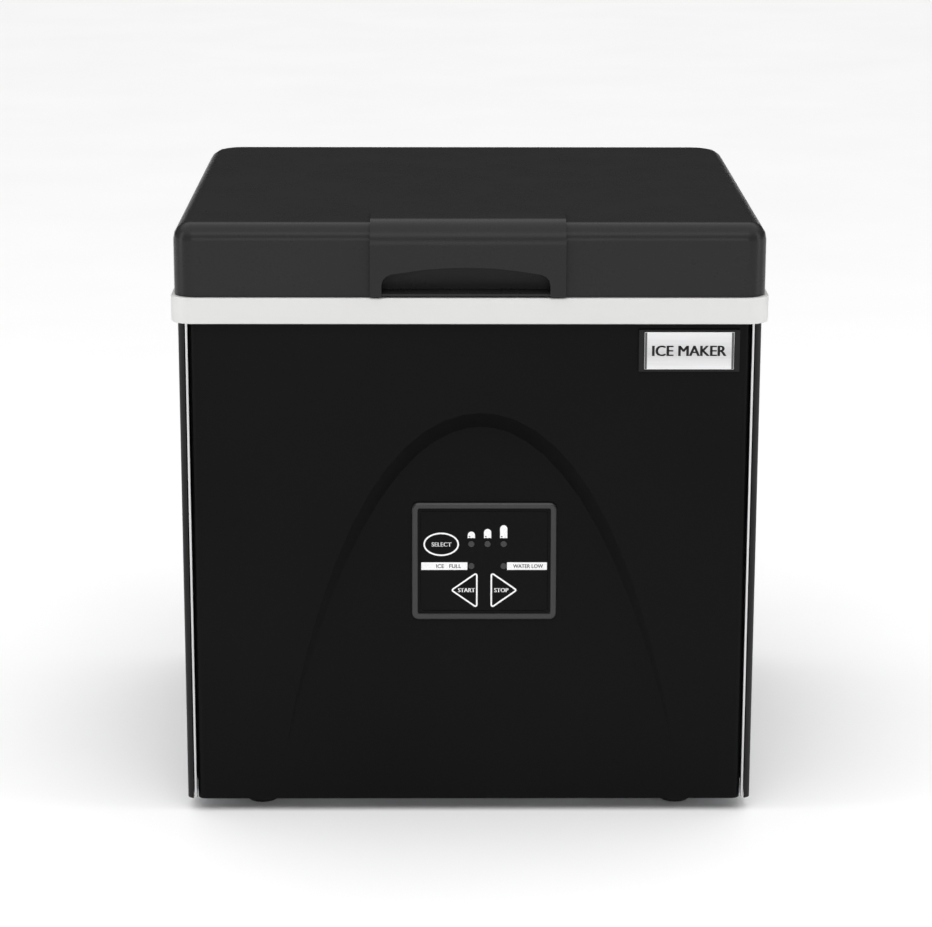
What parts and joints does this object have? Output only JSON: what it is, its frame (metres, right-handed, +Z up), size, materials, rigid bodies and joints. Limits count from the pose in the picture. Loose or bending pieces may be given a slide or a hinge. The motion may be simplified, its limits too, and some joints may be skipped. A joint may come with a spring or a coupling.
{
  "type": "ice maker",
  "caption": "Countertop ice maker: hinged lid over an ice basket and a finger evaporator, an arched recess with a control panel in its front, and a pale band round its top.",
  "frame": {"origin": "middle of the object's footprint, on the surface it stands on", "axes": "+X to the right of someone facing the front, the front faces -Y, +Z up"},
  "size_m": [0.43, 0.3972, 0.4475],
  "materials": {
    "charcoal_plastic": "satin",
    "gloss_black": "gloss",
    "coated_steel": "satin",
    "light_grey_plastic": "satin",
    "liner_white": "satin",
    "frosted_plastic": "satin",
    "lamp_lens": "gloss",
    "steel": "satin",
    "bright_trim": "polished",
    "badge_silver": "satin",
    "nickel": "polished",
    "fins": "satin",
    "copper": "satin",
    "rubber": "matte",
    "foam": "matte",
    "circuit_board": "satin"
  },
  "bodies": {
    "cabinet": {"base_pan": "steel", "foot_front_left": "rubber", "foot_front_right": "rubber", "foot_rear_left": "rubber", "foot_rear_right": "rubber", "front_panel": "gloss_black", "side_panel_left": "coated_steel", "side_panel_right": "coated_steel", "rear_panel": "coated_steel", "corner_trim_left": "bright_trim", "corner_trim_right": "bright_trim", "top_frame": "light_grey_plastic", "badge_frame": "coated_steel", "badge_plate": "badge_silver", "control_bezel": "charcoal_plastic", "control_overlay": "gloss_black", "size_lamp_small": "lamp_lens", "size_lamp_medium": "lamp_lens", "size_lamp_large": "lamp_lens", "ice_full_lamp": "lamp_lens", "water_low_lamp": "lamp_lens", "control_board": "circuit_board", "hinge_bracket_left": "light_grey_plastic", "hinge_bracket_right": "light_grey_plastic", "hinge_pin_left": "steel", "hinge_pin_right": "steel", "liner_tub": "liner_white", "foam_jacket": "foam", "evaporator": "nickel", "tray_bracket_left": "steel", "tray_bracket_right": "steel", "tray_motor": "liner_white", "ice_chute": "liner_white", "water_pump": "gloss_black", "pump_hose": "frosted_plastic", "float_stem": "liner_white", "compressor": "coated_steel", "condenser": "fins", "fan_shroud": "coated_steel", "fan_motor": "coated_steel", "filter_drier": "copper", "suction_tube": "copper", "liquid_tube": "copper", "main_board": "circuit_board", "power_inlet": "gloss_black", "drain_pipe": "liner_white"},
    "lid": {"lid_outer": "charcoal_plastic", "lid_handle": "charcoal_plastic", "lid_liner": "liner_white", "lid_foam": "foam", "lid_gasket": "rubber"},
    "select_key": {"select_key": "gloss_black"},
    "start_key": {"start_key": "gloss_black"},
    "stop_key": {"stop_key": "gloss_black"},
    "basket": {"ice_basket": "frosted_plastic"},
    "scoop": {"ice_scoop": "frosted_plastic"},
    "tray": {"water_tray": "liner_white"},
    "float": {"level_float": "frosted_plastic"},
    "fan": {"fan_blades": "liner_white"},
    "drain_cap": {"drain_cap": "rubber"}
  },
  "joints": [
    {"name": "lid_hinge", "type": "hinge", "parent": "cabinet", "child": "lid", "pos_m": [0, 0.1936, 0.396], "axis": [-1, 0, 0], "range_deg": [0, 95]},
    {"name": "select_press", "type": "slide", "parent": "cabinet", "child": "select_key", "axis": [0, 0.9988, -0.0493], "range_m": [0, 0.0008], "stiffness_N_per_m": 1500},
    {"name": "start_press", "type": "slide", "parent": "cabinet", "child": "start_key", "axis": [0, 0.9988, -0.0493], "range_m": [0, 0.0008], "stiffness_N_per_m": 1500},
    {"name": "stop_press", "type": "slide", "parent": "cabinet", "child": "stop_key", "axis": [0, 0.9988, -0.0493], "range_m": [0, 0.0008], "stiffness_N_per_m": 1500},
    {"name": "basket_lift", "type": "slide", "parent": "cabinet", "child": "basket", "axis": [0, 0, 1], "range_m": [0, 0.028]},
    {"name": "scoop_lift", "type": "slide", "parent": "basket", "child": "scoop", "axis": [0, 0, 1], "range_m": [0, 0.06]},
    {"name": "tray_tilt", "type": "hinge", "parent": "cabinet", "child": "tray", "pos_m": [0, 0.0836, 0.322], "axis": [1, 0, 0], "range_deg": [0, 120]},
    {"name": "float_rise", "type": "slide", "parent": "cabinet", "child": "float", "axis": [0, 0, 1], "range_m": [0, 0.012]},
    {"name": "fan_spin", "type": "hinge", "parent": "cabinet", "child": "fan", "pos_m": [0.1512, 0.0476, 0.102], "axis": [1, 0, 0], "continuous": true},
    {"name": "drain_cap_pull", "type": "slide", "parent": "cabinet", "child": "drain_cap", "axis": [0, 1, 0], "range_m": [0, 0.022]}
  ]
}
